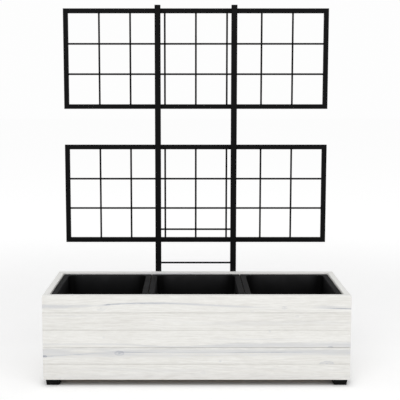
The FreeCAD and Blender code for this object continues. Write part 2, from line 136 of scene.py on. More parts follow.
def share(description, default, high=1.0):
    return bpy.props.FloatProperty(description=description, default=default, min=0.0, max=high,
                                   subtype="FACTOR")


def colour(description, default):
    return bpy.props.FloatVectorProperty(description=description, default=default, size=3, min=0.0, max=1.0,
                                         subtype="COLOR")


class TimberSettings(bpy.types.PropertyGroup):
    """Sizes and colours of the timber."""
    arris: length("Rounding of a board's long outer edges", 1.7 * MM)
    rim_arris: length("Rounding of the rim's edges", 2.2 * MM)
    end_arris: length("Rounding of the upright outer edges", 1.6 * MM)
    cupping: length("How far a board's edges stand back from its middle", 0.3 * MM)
    step: length("Distance between the rings of points along a board", 3.5 * MM, 0.5 * MM)
    ring_spacing: length("Thickness of a yearly ring", 3.2 * MM, 0.1 * MM)
    grain_depth: length("Height of the raised grain", 0.35 * MM)
    pale: colour("Wash where it lies thickest", (0.880, 0.873, 0.842))
    warm: colour("Timber just showing through the wash", (0.735, 0.720, 0.684))
    stain: colour("Grey-blue streaks under the wash", (0.590, 0.602, 0.632))
    dark: colour("Cracks and the hearts of knots", (0.230, 0.245, 0.285))
    crevice: colour("Shade in the joints between the boards", (0.44, 0.43, 0.41))
    # The rim's top face is mixed in patches towards this greyer colour: painted shade of an upward face.
    rim: colour("Weathered top edge", (0.860, 0.857, 0.835))
    inner_pale: colour("Early wood of the bare timber inside", (0.62, 0.44, 0.26))
    inner_dark: colour("Late wood of the bare timber inside", (0.40, 0.24, 0.12))


class PlasticSettings(bpy.types.PropertyGroup):
    """Colours and finish of the moulded plastic."""
    liner: colour("Black of the liners", (0.009, 0.009, 0.0095))
    liner_roughness: share("Roughness of the liners", 0.68)
    foot: colour("Black of the feet and the post caps", (0.004, 0.004, 0.004))
    foot_roughness: share("Roughness of the feet and the post caps", 0.55)
    bow: length("How far a liner's wall bows inwards", 1.2 * MM)


class MetalSettings(bpy.types.PropertyGroup):
    """Colours and finish of the metal."""
    coat: colour("Black of the powder coat", (0.0034, 0.0034, 0.0036))
    coat_roughness: share("Roughness of the powder coat", 0.50)
    weld: length("Width of the weld round a rod's end", 1.6 * MM)
    zinc: colour("Plated screws and bolts", (0.62, 0.62, 0.60))


class StageSettings(bpy.types.PropertyGroup):
    """Camera, lights and floor."""
    camera: bpy.props.FloatVectorProperty(description="Place of the camera", size=3, unit="LENGTH",
                                          default=(-0.0311, -3.3074, 1.1495), subtype="TRANSLATION")
    pitch: bpy.props.FloatProperty(description="How far the camera looks down", default=math.radians(5.871),
                                   unit="ROTATION", subtype="ANGLE")
    lens: bpy.props.FloatProperty(description="Focal length in millimetres on a 36 mm frame", default=72.87,
                                  min=1.0)
    shift_x: bpy.props.FloatProperty(description="Sideways shift of the lens", default=0.0283)
    shift_y: bpy.props.FloatProperty(description="Upward shift of the lens", default=-0.065)
    world: share("Strength of the light from all round", 0.745, 10.0)
    key: bpy.props.FloatProperty(description="Power of the large front light", default=56.0, min=0.0,
                                 unit="POWER")
    floor_size: length("Width of the floor", 60.0)


def settings(kind):
    return getattr(bpy.context.scene, "planter_" + kind)


def corners_of(node_name):
    """The low corner, the high corner and the middle of a node's box, as arrays."""
    low, high = (np.array(corner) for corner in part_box(node_name))
    return low, high, (low + high) / 2


def placed(name, data, place=(0.0, 0.0, 0.0)):
    """A new object of the scene."""
    made = bpy.data.objects.new(name, data)
    made.location = place
    bpy.context.scene.collection.objects.link(made)
    return made


# ---- Surfaces ----
def skin(rings, joined=False, **fields):
    """A closed skin over a stack of closed rings, given as one array [ring, point, xyz].

    Four-sided faces run from each ring to the next. The first and the last ring are closed by a flat face
    each, or joined to each other. Where the signed volume, a sixth of the sum of a . (b x c) over the
    triangles, comes out negative, the stack is turned over, so that all faces point outwards. The fields are
    values for the same points.
    """
    points = rings.reshape(-1, 3)
    for way in (1, -1):
        grid = np.arange(len(points)).reshape(rings.shape[:2])[::way]
        low = grid if joined else grid[:-1]
        high = np.roll(grid, -1, axis=0) if joined else grid[1:]
        quads = np.stack([low, np.roll(low, -1, 1), np.roll(high, -1, 1), high], axis=-1).reshape(-1, 4)
        ends = [] if joined else [grid[0][::-1], grid[-1]]
        a, b, c, d = points[quads].transpose(1, 0, 2)
        volume = np.sum(a * (np.cross(b, c) + np.cross(c, d)))
        volume += sum(np.sum(p[0] * np.cross(p[1:-1], p[2:])) for p in (points[end] for end in ends))
        if volume > 0:
            break
    sizes = [4] * len(quads) + [rings.shape[1]] * len(ends)
    return {"points": points, "corners": np.concatenate([quads.ravel(), *ends]), "sizes": np.array(sizes),
            "fields": {name: np.asarray(value).reshape(len(points), -1) for name, value in fields.items()}}


def mesh_of(name, skins, crease=35.0):
    """One mesh of several skins, smooth but for edges sharper than the crease angle."""
    counts = [len(s["points"]) for s in skins]
    offsets = np.cumsum([0] + counts[:-1])
    points = np.concatenate([s["points"] for s in skins])
    corners = np.concatenate([s["corners"] + offset for s, offset in zip(skins, offsets)])
    sizes = np.concatenate([s["sizes"] for s in skins])
    mesh = bpy.data.meshes.new(name)
    mesh.vertices.add(len(points))
    mesh.vertices.foreach_set("co", points.astype(np.float32).ravel())
    mesh.loops.add(len(corners))
    mesh.loops.foreach_set("vertex_index", corners.astype(np.int32))
    mesh.polygons.add(len(sizes))
    mesh.polygons.foreach_set("loop_start", (np.cumsum(sizes) - sizes).astype(np.int32))
    mesh.update(calc_edges=True)
    for field in skins[0]["fields"]:
        values = np.concatenate([s["fields"][field] for s in skins]).astype(np.float32)
        layer = mesh.attributes.new(field, "FLOAT_VECTOR" if values.shape[1] == 3 else "FLOAT", "POINT")
        layer.data.foreach_set("vector" if values.shape[1] == 3 else "value", values.ravel())
    if mesh.validate():
        raise RuntimeError(f"{name} has faulty faces")
    mesh.shade_smooth()
    mesh.set_sharp_from_angle(angle=math.radians(crease))
    return mesh


def piece(name, skins, finish, body, nodes, crease=35.0):
    """A finished piece: its mesh and material, the body it rides on and the nodes it stands for."""
    made = placed(name, mesh_of(name, skins, crease))
    made.data.materials.append(finish)
    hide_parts(*nodes)
    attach(made, body)
    return made


def coated(name, skins, node_name, crease=35.0):
    piece(name, skins, powder_coat(), ROOT, [node_name], crease)


CORNERS = np.array([[1.0, 1.0], [-1.0, 1.0], [-1.0, -1.0], [1.0, -1.0]])


def quarter(steps=4):
    """Even angles from nothing to a quarter turn."""
    return np.linspace(0, np.pi / 2, steps + 1)


def outline(per_corner, per_side=0):
    """The points of a rounded rectangle as coefficients, anticlockwise from its right-hand side.

    A point is a * (half size - radius) + b * radius - c * bow. Round a corner a stays and b turns through a
    quarter circle. Along a side b stays, a runs from corner to corner, and c, which points outwards, rises
    and falls as 4 s (1 - s).
    """
    turn = quarter(per_corner)
    run = np.linspace(0, 1, per_side + 2)[1:-1, None]
    a, b, c = [], [], []
    for i, (corner, following) in enumerate(zip(CORNERS, np.roll(CORNERS, -1, axis=0))):
        angle = turn + i * np.pi / 2
        arc = np.stack([np.cos(angle), np.sin(angle)], axis=1)
        a += [np.repeat(corner[None], len(turn), 0), corner + run * (following - corner)]
        b += [arc, np.repeat(arc[-1:], per_side, 0)]
        c += [np.zeros_like(arc), 4 * run * (1 - run) * arc[-1:]]
    return np.concatenate(a), np.concatenate(b), np.concatenate(c)


def rectangle_rings(halves, radii, heights, shape, bow=0.0):
    """Rings of rounded rectangles as [ring, point, xyz], one for each row of half sizes, radius and height."""
    a, b, c = shape
    halves = np.asarray(halves, float)[:, None, :]
    radii = np.asarray(radii, float)[:, None, None]
    bows = np.broadcast_to(bow, len(heights))[:, None, None]
    flat = a * (halves - radii) + b * radii - c * bows
    up = np.broadcast_to(np.asarray(heights, float)[:, None, None], flat.shape[:2] + (1,))
    return np.concatenate([flat, up], axis=2)


def square_rings(rows, shape):
    """Rings of rounded squares, one for each row of (half size, radius, height)."""
    rows = np.array(rows)
    return rectangle_rings(rows[:, [0, 0]], rows[:, 1], rows[:, 2], shape)


def set_out(rings, origin, along, across, up):
    """Rings moved from their own axes to the frame: origin + x * along + y * across + z * up."""
    return np.asarray(origin, float) + rings @ np.array([along, across, up], float)


def turned_rings(profile, start, direction, sides):
    """A profile of (radius, distance) rows turned about the line from start in the direction."""
    direction = np.array(direction, float)
    helper = np.array([0.0, 0.0, 1.0]) if abs(direction[2]) < 0.9 else np.array([1.0, 0.0, 0.0])
    across = np.cross(helper, direction)
    across /= np.linalg.norm(across)
    angle = np.linspace(0, 2 * np.pi, sides, endpoint=False)[:, None]
    round_line = np.cos(angle) * across + np.sin(angle) * np.cross(direction, across)
    radius, distance = np.array(profile, float).T[:, :, None, None]
    return np.array(start, float) + radius * round_line + distance * direction


def rod(start, end):
    """A round rod whose ends flare into welds: radius + weld * exp(-3 distance / weld) from each end."""
    start, end = np.array(start, float), np.array(end, float)
    span = np.linalg.norm(end - start)
    weld = settings("metal").weld
    near = weld * np.array([0.0, 0.15, 0.35, 0.6, 1.0, 1.6])
    flare = ROD_RADIUS + weld * np.exp(-3 * near / weld) - weld * math.exp(-4.8)
    profile = np.concatenate([np.stack([flare, near], 1), np.stack([flare, span - near], 1)[::-1]])
    return skin(turned_rings(profile, start, (end - start) / span, 20))


def rod_heights(low, high, count):
    """Even heights of level rods that fill a box."""
    return np.linspace(low[2] + ROD_RADIUS, high[2] - ROD_RADIUS, count)


def ball(centre, radii, sides=12, rows=7):
    """An ellipsoid: rings at even angles from pole to pole, the poles closed by small flat faces."""
    polar = np.linspace(0.12, np.pi - 0.12, rows)
    angle = np.linspace(0, 2 * np.pi, sides, endpoint=False)
    unit = np.stack([np.sin(polar)[:, None] * np.cos(angle), np.sin(polar)[:, None] * np.sin(angle),
                     np.repeat(np.cos(polar)[:, None], sides, 1)], axis=-1)
    return skin(np.array(centre) + unit * np.array(radii))


def wander(x, rng, wavelength):
    """A smooth irregular line between about -1 and 1: a sum of seven sines of random phase, whose wavelengths
    run from the one given down to a fifth of it and whose heights fall with them."""
    pace = np.linspace(1.0, 5.0, 7) * rng.uniform(0.8, 1.2, 7)
    phase = rng.uniform(0, 2 * np.pi, 7)
    return np.sin(2 * np.pi * np.asarray(x)[..., None] * pace / wavelength + phase) @ (1 / pace) / 1.6


def line_through(keys, x):
    """A smooth line through keys of (x, value, value, ...).

    Cubic pieces join the keys, and the slope at a key is the mean of the slopes beside it.
    """
    keys = np.array(keys, float)
    at, values = keys[:, 0], keys[:, 1:]
    slopes = np.gradient(values, at, axis=0)
    i = np.clip(np.searchsorted(at, x) - 1, 0, len(at) - 2)
    span = (at[i + 1] - at[i])[:, None]
    t = np.clip((x - at[i])[:, None] / span, 0, 1)
    rise = t * t * (3 - 2 * t)
    return (values[i] * (1 - rise) + values[i + 1] * rise
            + span * t * (1 - t) * (slopes[i] * (1 - t) - slopes[i + 1] * t))


# ---- Boards ----
# The front boards' marks as (tone, knots, streaks), lowest board first, in millimetres from the middle of
# the board and from its lower edge. A knot is (x, height, half width, half height, strength). A streak is a
# line of keys (x, height, half width, strength).
FRONT_MARKS = [
    (0.0, [(25, 30, 9, 6, 0.35), (-180, 14, 12, 5, 0.2), (300, 44, 10, 5, 0.2)],
     [[(-600, 12, 9, 0.1), (-300, 16, 12, 0.2), (0, 20, 10, 0.1), (300, 15, 12, 0.15), (600, 12, 9, 0.1)],
      [(-600, 40, 5, 0.0), (-350, 42, 6, 0.15), (-120, 38, 8, 0.2), (100, 43, 6, 0.1), (600, 40, 5, 0.1)]]),
    (0.05, [(-301, 44.5, 17, 9, 1.0), (-594, 31.4, 9, 5, 1.3), (92, 12, 5, 3, 0.8), (509, 1, 27, 12, 1.1)],
     [[(-600, 47, 18, 0.62), (-443, 48, 18, 0.55), (-301, 47, 17, 0.62), (-182, 47, 17, 0.58),
       (13, 48, 16, 0.58), (208, 49, 14, 0.6), (450, 49, 13, 0.62), (600, 49, 13, 0.65)],
      [(-600, 52, 6, 0.0), (-520, 52, 6, 0.0), (-460, 52, 8, -0.5), (-400, 51, 7, -0.45), (-350, 50, 5, 0.0),
       (600, 50, 5, 0.0)],
      [(-600, 31.4, 3.5, 1.2), (-575, 32, 3, 0.9), (-533, 35, 2.5, 0.5), (-480, 38.5, 2.2, 0.5),
       (-436, 40.5, 2, 0.5), (-377, 45, 2, 0.3), (-330, 44, 2, 0.0), (600, 44, 2, 0.0)]]),
    (0.2, [(-362, 40.5, 5, 4, 0.5), (285, 65, 5, 4, 0.7), (521, 2, 10, 4, 1.2)],
     [[(-600, 13, 4, 0.35), (-416, 14.5, 4, 0.35), (-260, 12, 4, 0.45), (-182, 6, 4, 0.55), (-60, 3, 5, 0.5),
       (13, 4, 6, 0.5), (67, 7, 8, 0.6), (231, 10, 10, 0.65), (457, 11, 11, 0.6), (600, 12, 11, 0.7)],
      [(-600, 34, 1, 0.0), (40, 34.6, 1.2, 0.0), (120, 34.6, 1.5, 0.45), (250, 34.6, 1.6, 0.55),
       (360, 34.6, 1.4, 0.3), (430, 34.6, 1, 0.0), (600, 34, 1, 0.0)]]),
    (0.0, [(390, 55.5, 8, 5, 0.4), (-174, 41, 16, 3, 0.35)],
     [[(-600, 57, 3, 0.12), (-460, 57, 3, 0.25), (-360, 57, 2, 0.05), (0, 30, 6, 0.12), (200, 28, 10, 0.2),
       (420, 32, 9, 0.15), (600, 30, 6, 0.1)]]),
    (0.12, [(-370, 18, 20, 9, 0.5), (-344, 32, 9, 3.5, 0.9), (341, 21, 11, 5.5, 0.85), (214, 6, 9, 5, 0.3)],
     [[(-600, 25.8, 8, 0.75), (-530, 25.8, 8, 0.75), (-429, 27.5, 6, 0.55), (-375, 30, 4, 0.4),
       (-345, 33.3, 3, 1.15), (-278, 36.9, 3, 1.0), (-142, 38.6, 4.5, 1.0), (-65, 37.1, 4.5, 0.9),
       (-7, 34.5, 4.5, 0.8), (71, 30.1, 4.5, 0.7), (148, 26.1, 4.5, 0.6), (226, 22, 4.5, 0.5),
       (284, 20, 5, 0.5), (340, 21, 5, 0.35), (380, 20, 4, 0.1), (600, 18, 3, 0.0)],
      [(-600, 19, 1.3, 0.0), (420, 19, 1.5, 0.1), (490, 19.4, 1.6, 0.6), (545, 18.2, 1.7, 1.35),
       (600, 16, 1.7, 1.8)],
      [(-600, 23, 5, 0.0), (440, 23, 5, 0.0), (500, 24, 7, 0.45), (550, 22, 7, 0.4), (600, 20, 5, 0.15)]]),
]
# How dark the joint above each front board is at its left end, middle and right end, lowest joint first.
FRONT_SEAMS = [(0.28, 0.28, 0.25), (0.25, 0.6, 0.8), (0.25, 0.18, 0.1), (0.2, 0.35, 0.2)]
CHANCE_SEAM = (0.35, 0.25, 0.4)


def chance_marks(rng, half, height):
    """Marks of a board that the front view doesn't show: one to four knots and three streaks."""
    knots = [(rng.uniform(-half, half), rng.uniform(6, height - 6), rng.uniform(5, 17), rng.uniform(3, 9),
              rng.uniform(0.3, 1.0)) for _ in range(rng.integers(1, 3) + (half > 300))]
    streaks = []
    for width, strength in ((rng.uniform(2, 4), 0.6), (rng.uniform(5, 14), 0.6), (rng.uniform(1.2, 2), 0.5)):
        middle = rng.uniform(8, height - 8)
        xs = np.linspace(-half, half, 6)
        streaks.append([(x, middle + rng.uniform(-5, 5), width * rng.uniform(0.7, 1.3),
                         max(0.0, strength * rng.uniform(-0.5, 1.4))) for x in xs])
    return rng.uniform(-0.15, 0.3), knots, streaks


def board_section(height, course):
    """A board's cross-section as points (depth from the outer face, height) in three arrays.

    A point is base + lower radius * low + upper radius * high, so that the roundings can change along the
    board. Up the outer face the height runs evenly between the two roundings, which are quarter circles.
    """
    rim = course == COURSES - 1
    thick = 25.0 * MM
    middle = thick / 2
    turn = quarter()
    arc = 1 - np.stack([np.sin(turn), np.cos(turn)], axis=1)
    nothing = np.zeros_like(arc)
    rise = np.linspace(0, 1, max(int(height / (2.6 * MM)), 8))[1:-1, None]
    zero = np.zeros_like(rise)
    base = [nothing, np.hstack([zero, rise * height]), nothing + [0, height]]
    low = [arc, np.hstack([zero, 1 - rise]), nothing]
    high = [nothing, np.hstack([zero, -rise]), arc[::-1] * [1, -1]]
    inside = np.linspace(height, 0, 7)
    if rim:
        across = np.linspace(middle / 2, middle * 1.5, 5)
        top = [[d, height] for d in across]
        corner = [thick - 2.0 * MM, height], [thick - 0.6 * MM, height - 0.6 * MM], [thick, height - 2.0 * MM]
        top += [list(c) for c in corner]
    else:
        top = [[middle - TONGUE_HALF, height], [middle - TONGUE_HALF, height + TONGUE_HEIGHT],
               [middle + TONGUE_HALF, height + TONGUE_HEIGHT], [middle + TONGUE_HALF, height], [thick, height]]
    rest = top + [[thick, v] for v in inside[1:]]
    if course:
        rest += [[middle + GROOVE_HALF, 0], [middle + GROOVE_HALF, GROOVE_DEPTH],
                 [middle - GROOVE_HALF, GROOVE_DEPTH], [middle - GROOVE_HALF, 0]]
    rest = np.array(rest)
    base.append(rest)
    low.append(np.zeros_like(rest))
    high.append(np.zeros_like(rest))
    return np.concatenate(base), np.concatenate(low), np.concatenate(high)


def board_stations(span, step, end_radius):
    """Places along a board and how far its face is held in at each: end_radius * (1 - cos) round the ends."""
    half = span / 2 - end_radius
    middle = np.linspace(-half, half, int(2 * half / step) + 1)
    if not end_radius:
        return middle, np.zeros_like(middle)
    turn = quarter()[1:]
    ends = half + end_radius * np.sin(turn)
    held = end_radius * (1 - np.cos(turn))
    return (np.concatenate([-ends[::-1], middle, ends]),
            np.concatenate([held[::-1], np.zeros_like(middle), held]))


def board_skin(wall, course, rng, timber):
    """One board, with the values that its grain, knots and streaks are drawn from.

    The face stands back by the cupping times the square of the height measured from the middle, by a slow
    irregular wave, and by a shallow dish over each knot. The grain's own coordinates run along the board and
    across the log; near a knot the lines across are pushed apart by a bell curve.
    """
    low_corner, high_corner, middle = corners_of(f"{wall}_board_{course + 1}")
    rim = course == COURSES - 1
    height = high_corner[2] - low_corner[2] - (0 if rim else TONGUE_HEIGHT)
    placing = {
        "front": ((middle[0], low_corner[1]), (1, 0, 0), (0, 1, 0)),
        "back": ((middle[0], high_corner[1]), (-1, 0, 0), (0, -1, 0)),
        "left": ((low_corner[0], middle[1]), (0, -1, 0), (1, 0, 0)),
        "right": ((high_corner[0], middle[1]), (0, 1, 0), (-1, 0, 0)),
    }
    (x0, y0), along, inwards = placing[wall]
    long_wall = wall in ENDS
    span = (high_corner - low_corner)[0 if long_wall else 1]
    half_mm = span / 2 / MM
    tone, knots, streaks = FRONT_MARKS[course] if wall == "front" else chance_marks(rng, half_mm, height / MM)

    x, held = board_stations(span, timber.step, timber.end_arris if long_wall else 0.0)
    base, low, high = board_section(height, course)
    lower = timber.arris * (1 + 0.25 * wander(x, rng, 0.5))
    upper = (timber.rim_arris if rim else timber.arris) * (1 + 0.25 * wander(x, rng, 0.5))
    flat = base + lower[:, None, None] * low + upper[:, None, None] * high
    depth, v = flat[..., 0], flat[..., 1]
    xs = np.broadcast_to(x[:, None], depth.shape)

    knots = np.array(knots) * [MM, MM, MM, MM, 1.0]
    dx = (xs[..., None] - knots[:, 0]) / knots[:, 2]
    dv = (v[..., None] - knots[:, 1]) / knots[:, 3]
    distance = np.hypot(dx, dv)
    nearest = distance.argmin(axis=-1)[..., None]
    knot = np.stack([np.take_along_axis(dx, nearest, -1)[..., 0], np.take_along_axis(dv, nearest, -1)[..., 0],
                     knots[nearest[..., 0], 4]], axis=-1)

    outer = depth < 4 * MM
    stand_back = timber.cupping * (2 * v / height - 1) ** 2
    stand_back = stand_back + 0.12 * MM * (1 + wander(x, rng, 0.35))[:, None]
    stand_back = stand_back + 0.25 * MM * np.sum(knots[:, 4] * np.exp(-distance ** 2), axis=-1)
    depth = depth + np.where(outer, stand_back, 0.0)
    depth = np.maximum(depth, held[:, None])

    pushed = np.sum((v[..., None] - knots[:, 1]) * np.exp(-(dx / 2.6) ** 2 - (dv / 2.2) ** 2), axis=-1)
    log = np.stack([
        xs + rng.uniform(-3, 3),
        v - 0.7 * pushed + rng.uniform(-0.05, 0.03) + (0.004 * wander(x, rng, 1.1))[:, None],
        depth + rng.uniform(0.045, 0.12) + xs * rng.uniform(-0.03, 0.03),
    ], axis=-1)

    off = np.full(depth.shape + (3,), 9.0)
    strength = np.zeros(depth.shape + (3,))
    for i, keys in enumerate(streaks):
        line = line_through(np.array(keys) * [MM, MM, MM, 1.0], x)
        off[..., i] = (v - line[:, :1]) / line[:, 1:2]
        strength[..., i] = line[:, 2:]
    # The rim board's top face, which the washed timber paints greyer: painted shade of an upward face.
    top = np.clip((v - height + 1.0 * MM) / MM, 0, 1) * rim
    cut = np.zeros_like(depth)
    cut[[0, -1]] = 1.0
    place = np.stack([top, cut, np.full(depth.shape, tone)], axis=-1)
    seam = np.zeros_like(depth)
    for joint, away in ((course, v), (course + 1, height - v)):
        if 0 < joint < COURSES:
            keys = FRONT_SEAMS[joint - 1] if wall == "front" else CHANCE_SEAM
            dark = np.interp(x / half_mm / MM, [-1.0, 0.0, 1.0], keys)[:, None]
            seam = np.maximum(seam, dark * np.exp(-(np.maximum(away, 0.0) / SEAM_WIDTH) ** 2))

    rings = set_out(np.stack([xs, depth, v], axis=-1), (x0, y0, low_corner[2]), along, inwards, (0, 0, 1))
    return skin(rings, log=log, knot=knot, streak_off=off, streak_strength=strength, place=place, seam=seam)


# ---- Liners ----
def liner_rings(low, high, bow):
    """The liner's section carried round: up the outside of the wall, out under the flange, round the
    turned-down lip, over the flange and down the inside. Each row is (inset, radius, height above the floor,
    share of the bow, share of the inside). Gives the rings and the painted shade, a factor on the plastic's
    colour at each point: 1 outside, and inside a falling exponential of the depth, less towards the corners
    and on the end walls."""
    tall = high[2] - low[2]

    def wall(z):
        return FLANGE_WIDTH + LINER_DRAFT * (tall - z) / tall

    turn = quarter(6)
    outer_arc = [(wall(0) + LINER_FLOOR_RADIUS * (1 - math.sin(t)),
                  LINER_CORNER - LINER_FLOOR_RADIUS * (1 - math.sin(t)),
                  LINER_FLOOR_RADIUS * (1 - math.cos(t)), 0.0, 0.0) for t in turn]
    climb = np.linspace(LINER_FLOOR_RADIUS, tall - LINER_WALL - 2 * MM, 12)[1:]
    outer_wall = [(wall(z), LINER_CORNER, z, math.sin(math.pi * z / tall), 0.0) for z in climb]
    under = tall - LINER_WALL
    lip_end = tall - LIP_HEIGHT
    flange = [
        (FLANGE_WIDTH - 1.5 * MM, LINER_CORNER, under, 0.0, 0.0),
        (LIP_WALL + 1.5 * MM, FLANGE_CORNER, under, 0.0, 0.0),
        (LIP_WALL, FLANGE_CORNER / 2, under - 1.2 * MM, 0.0, 0.0),
        (LIP_WALL, FLANGE_CORNER / 2, lip_end + 0.8 * MM, 0.0, 0.0),
        (LIP_WALL - 0.7 * MM, FLANGE_CORNER / 2, lip_end, 0.0, 0.0),
        (0.7 * MM, FLANGE_CORNER - 0.7 * MM, lip_end, 0.0, 0.0),
        (0.0, FLANGE_CORNER, lip_end + 0.8 * MM, 0.0, 0.0),
    ]
    edge = 1.8 * MM
    over = [(edge * (1 - math.cos(t)), FLANGE_CORNER, tall - edge + edge * math.sin(t), 0.0, 0.0)
            for t in turn]
    inner = FLANGE_WIDTH + LINER_WALL
    fall = 2.5 * MM
    into = [(inner - fall + fall * math.sin(t), LINER_CORNER - LINER_WALL + fall * (1 - math.sin(t)),
             tall - fall * (1 - math.cos(t)), 0.0, math.sin(t)) for t in turn]
    inner_radius = LINER_FLOOR_RADIUS - LINER_WALL
    drop = tall - fall - LINER_WALL - inner_radius
    down = tall - fall - drop * np.linspace(0, 1, 14)[1:] ** 1.6
    inner_wall = [(wall(z) + LINER_WALL, LINER_CORNER - LINER_WALL, z, math.sin(math.pi * z / tall), 1.0)
                  for z in down]
    inner_arc = [(wall(0) + LINER_WALL + inner_radius * (1 - math.cos(t)),
                  LINER_CORNER - LINER_WALL - inner_radius * (1 - math.cos(t)),
                  LINER_WALL + inner_radius * (1 - math.sin(t)), 0.0, 1.0) for t in turn[1:]]
    rows = np.array(outer_arc + outer_wall + flange + over + into + inner_wall + inner_arc)
    halves = (high - low)[:2] / 2 - rows[:, :1]
    shape = outline(8, 15)
    rings = rectangle_rings(halves, rows[:, 1], rows[:, 2], shape, bow * rows[:, 3])
    inside = rows[:, 4:]
    # Painted shade: the plastic lighter near the rim and darker deep down, in the corners and on the end
    # walls.
    pale = LINER_PAINTED_LIGHT_AT_BOTTOM + LINER_PAINTED_LIGHT_AT_RIM * np.exp((rows[:, 2:3] - tall) / LINER_PAINTED_LIGHT_REACH)
    along_side = np.clip(np.linalg.norm(shape[2], axis=1) / CORNER_PAINTED_SHADE_REACH, 0, 1)
    corner = 1 - along_side ** 2 * (3 - 2 * along_side)
    pale = pale * (1 - CORNER_PAINTED_SHADE * corner) * (1 - END_WALL_PAINTED_SHADE * np.abs(shape[1][:, 0]))
    middle = (low + high) / 2
    return rings + [middle[0], middle[1], low[2]], 1 - inside + inside * pale


def bored(made, places, radius, low, high):
    """The piece with upright round holes cut through it at the places, by a Boolean modifier applied here."""
    profile = [(radius, 0.0), (radius, high - low)]
    drills = [skin(turned_rings(profile, (x, y, low), (0, 0, 1), 28)) for x, y in places]
    cutter = placed("drills", mesh_of("drills", drills))
    cut = made.modifiers.new("holes", "BOOLEAN")
    cut.operation = "DIFFERENCE"
    cut.solver = "EXACT"
    cut.object = cutter
    bpy.context.view_layer.update()
    finished = bpy.data.meshes.new_from_object(made.evaluated_get(bpy.context.evaluated_depsgraph_get()))
    made.modifiers.clear()
    old = made.data
    made.data = finished
    finished.name = made.name
    bpy.data.meshes.remove(old)
    bpy.data.objects.remove(cutter)
    finished.set_sharp_from_angle(angle=math.radians(35.0))


# ---- Steel ----
def square_tube(half, wall, radius, stations):
    """A square tube standing on its axis, open at both ends: an outer and an inner rounded square, joined."""
    shape = outline(5)
    outer = square_rings([(half, radius, z) for z in stations], shape)
    inner = square_rings([(half - wall, radius - wall / 2, z) for z in stations[::-1]], shape)
    return np.concatenate([outer, inner])


def mitred_bar(node_name):
    """A panel's bar between its node's corners: a square tube whose ends are drawn in by the distance from
    the outer side, which gives mitres of 45 degrees."""
    low, high, middle = corners_of(node_name)
    side = node_name.split("_")[2]
    level = side in ("top", "bottom")
    half = (high - low)[0 if level else 2] / 2
    outwards = {"top": (0, 0, 1), "bottom": (0, 0, -1), "left": (-1, 0, 0), "right": (1, 0, 0)}[side]
    along = (1, 0, 0) if level else (0, 0, 1)
    rings = square_tube(BAR_SIZE / 2, BAR_WALL, BAR_CORNER, [-half, half])
    rings[..., 2] -= np.sign(rings[..., 2]) * (BAR_SIZE / 2 - rings[..., 0])
    return skin(set_out(rings, middle, outwards, (0, 1, 0), along), joined=True)


def post_cap(x, y, z, up, post_half):
    """A moulded cap: a plug inside the tube, and a plate with a rounded edge and a slight crown."""
    plug = CAP_PLUG_SIZE / 2
    edge = 0.9 * MM
    turn = quarter()
    rows = [(plug - 0.8 * MM, 1.0 * MM, -CAP_PLUG_LENGTH), (plug, 1.5 * MM, 1 * MM - CAP_PLUG_LENGTH),
            (plug, 1.5 * MM, 0.0), (post_half, POST_CORNER, 0.0)]
    top = CAP_PLATE - 0.5 * MM
    rows += [(post_half - edge * (1 - math.cos(t)), POST_CORNER, top - edge * (1 - math.sin(t))) for t in turn]
    rows += [(post_half * 0.7, 4 * MM, CAP_PLATE - 0.15 * MM), (post_half * 0.35, 3.5 * MM, CAP_PLATE)]
    return skin(set_out(square_rings(rows, outline(5)), (x, y, z), (1, 0, 0), (0, 1, 0), (0, 0, up)))


def foot_rings(top, tall):
    """A foot: a sole with a rounded edge, and a side that tapers up to a short upright band."""
    edge = 1.5 * MM
    turn = quarter()
    rows = [(top - FOOT_TAPER - edge * (1 - math.sin(t)), FOOT_CORNER, edge * (1 - math.cos(t))) for t in turn]
    rows += [(top - 0.6 * MM, FOOT_CORNER, tall - 2.5 * MM), (top, FOOT_CORNER, tall - 1.8 * MM),
             (top, FOOT_CORNER, tall)]
    return square_rings(rows, outline(6))


# ---- Materials ----
def connect(tree, sockets, values):
    """Gives the sockets their values, or links them to other nodes' outputs."""
    for name, value in values.items():
        if isinstance(value, bpy.types.NodeSocket):
            tree.links.new(value, sockets[name])
        else:
            sockets[name].default_value = value


def node(tree, kind, inputs=None, **set_to):
    """A node of the kind with its own settings, its inputs given values or links."""
    made = tree.nodes.new(kind)
    for name, value in set_to.items():
        setattr(made, name, value)
    connect(tree, made.inputs, inputs or {})
    return made


def maths(tree, operation, *values, clamp=False):
    made = node(tree, "ShaderNodeMath", dict(enumerate(values)), operation=operation, use_clamp=clamp)
    return made.outputs[0]


def sloped(tree, value, slope, rise):
    return maths(tree, "MULTIPLY_ADD", value, slope, rise)


def weighted(tree, start, *shares):
    """The start plus each value times its weight."""
    for value, weight in shares:
        start = maths(tree, "MULTIPLY_ADD", value, weight, start)
    return start


def vector_maths(tree, operation, *values):
    made = node(tree, "ShaderNodeVectorMath", dict(enumerate(values)), operation=operation)
    return made.outputs["Value" if operation == "LENGTH" else "Vector"]


def scaled(tree, vector, by):
    return node(tree, "ShaderNodeVectorMath", {0: vector, "Scale": by}, operation="SCALE").outputs["Vector"]


def axes_of(tree, vector):
    return node(tree, "ShaderNodeSeparateXYZ", {"Vector": vector}).outputs


def attribute(tree, name, output="Vector"):
    return node(tree, "ShaderNodeAttribute", attribute_name=name).outputs[output]


def object_place(tree):
    return node(tree, "ShaderNodeTexCoord").outputs["Object"]


def between(tree, value, low, high, to_low=0.0, to_high=1.0):
    """The value mapped by a smooth step from low..high to to_low..to_high."""
    made = node(tree, "ShaderNodeMapRange", {"Value": value, "From Min": low, "From Max": high,
                                             "To Min": to_low, "To Max": to_high},
                interpolation_type="SMOOTHSTEP")
    return made.outputs["Result"]


def two_steps(tree, value, first, second):
    """The sum of two smooth steps, each given as (low, high, value at low, value at high)."""
    return maths(tree, "ADD", between(tree, value, *first), between(tree, value, *second))


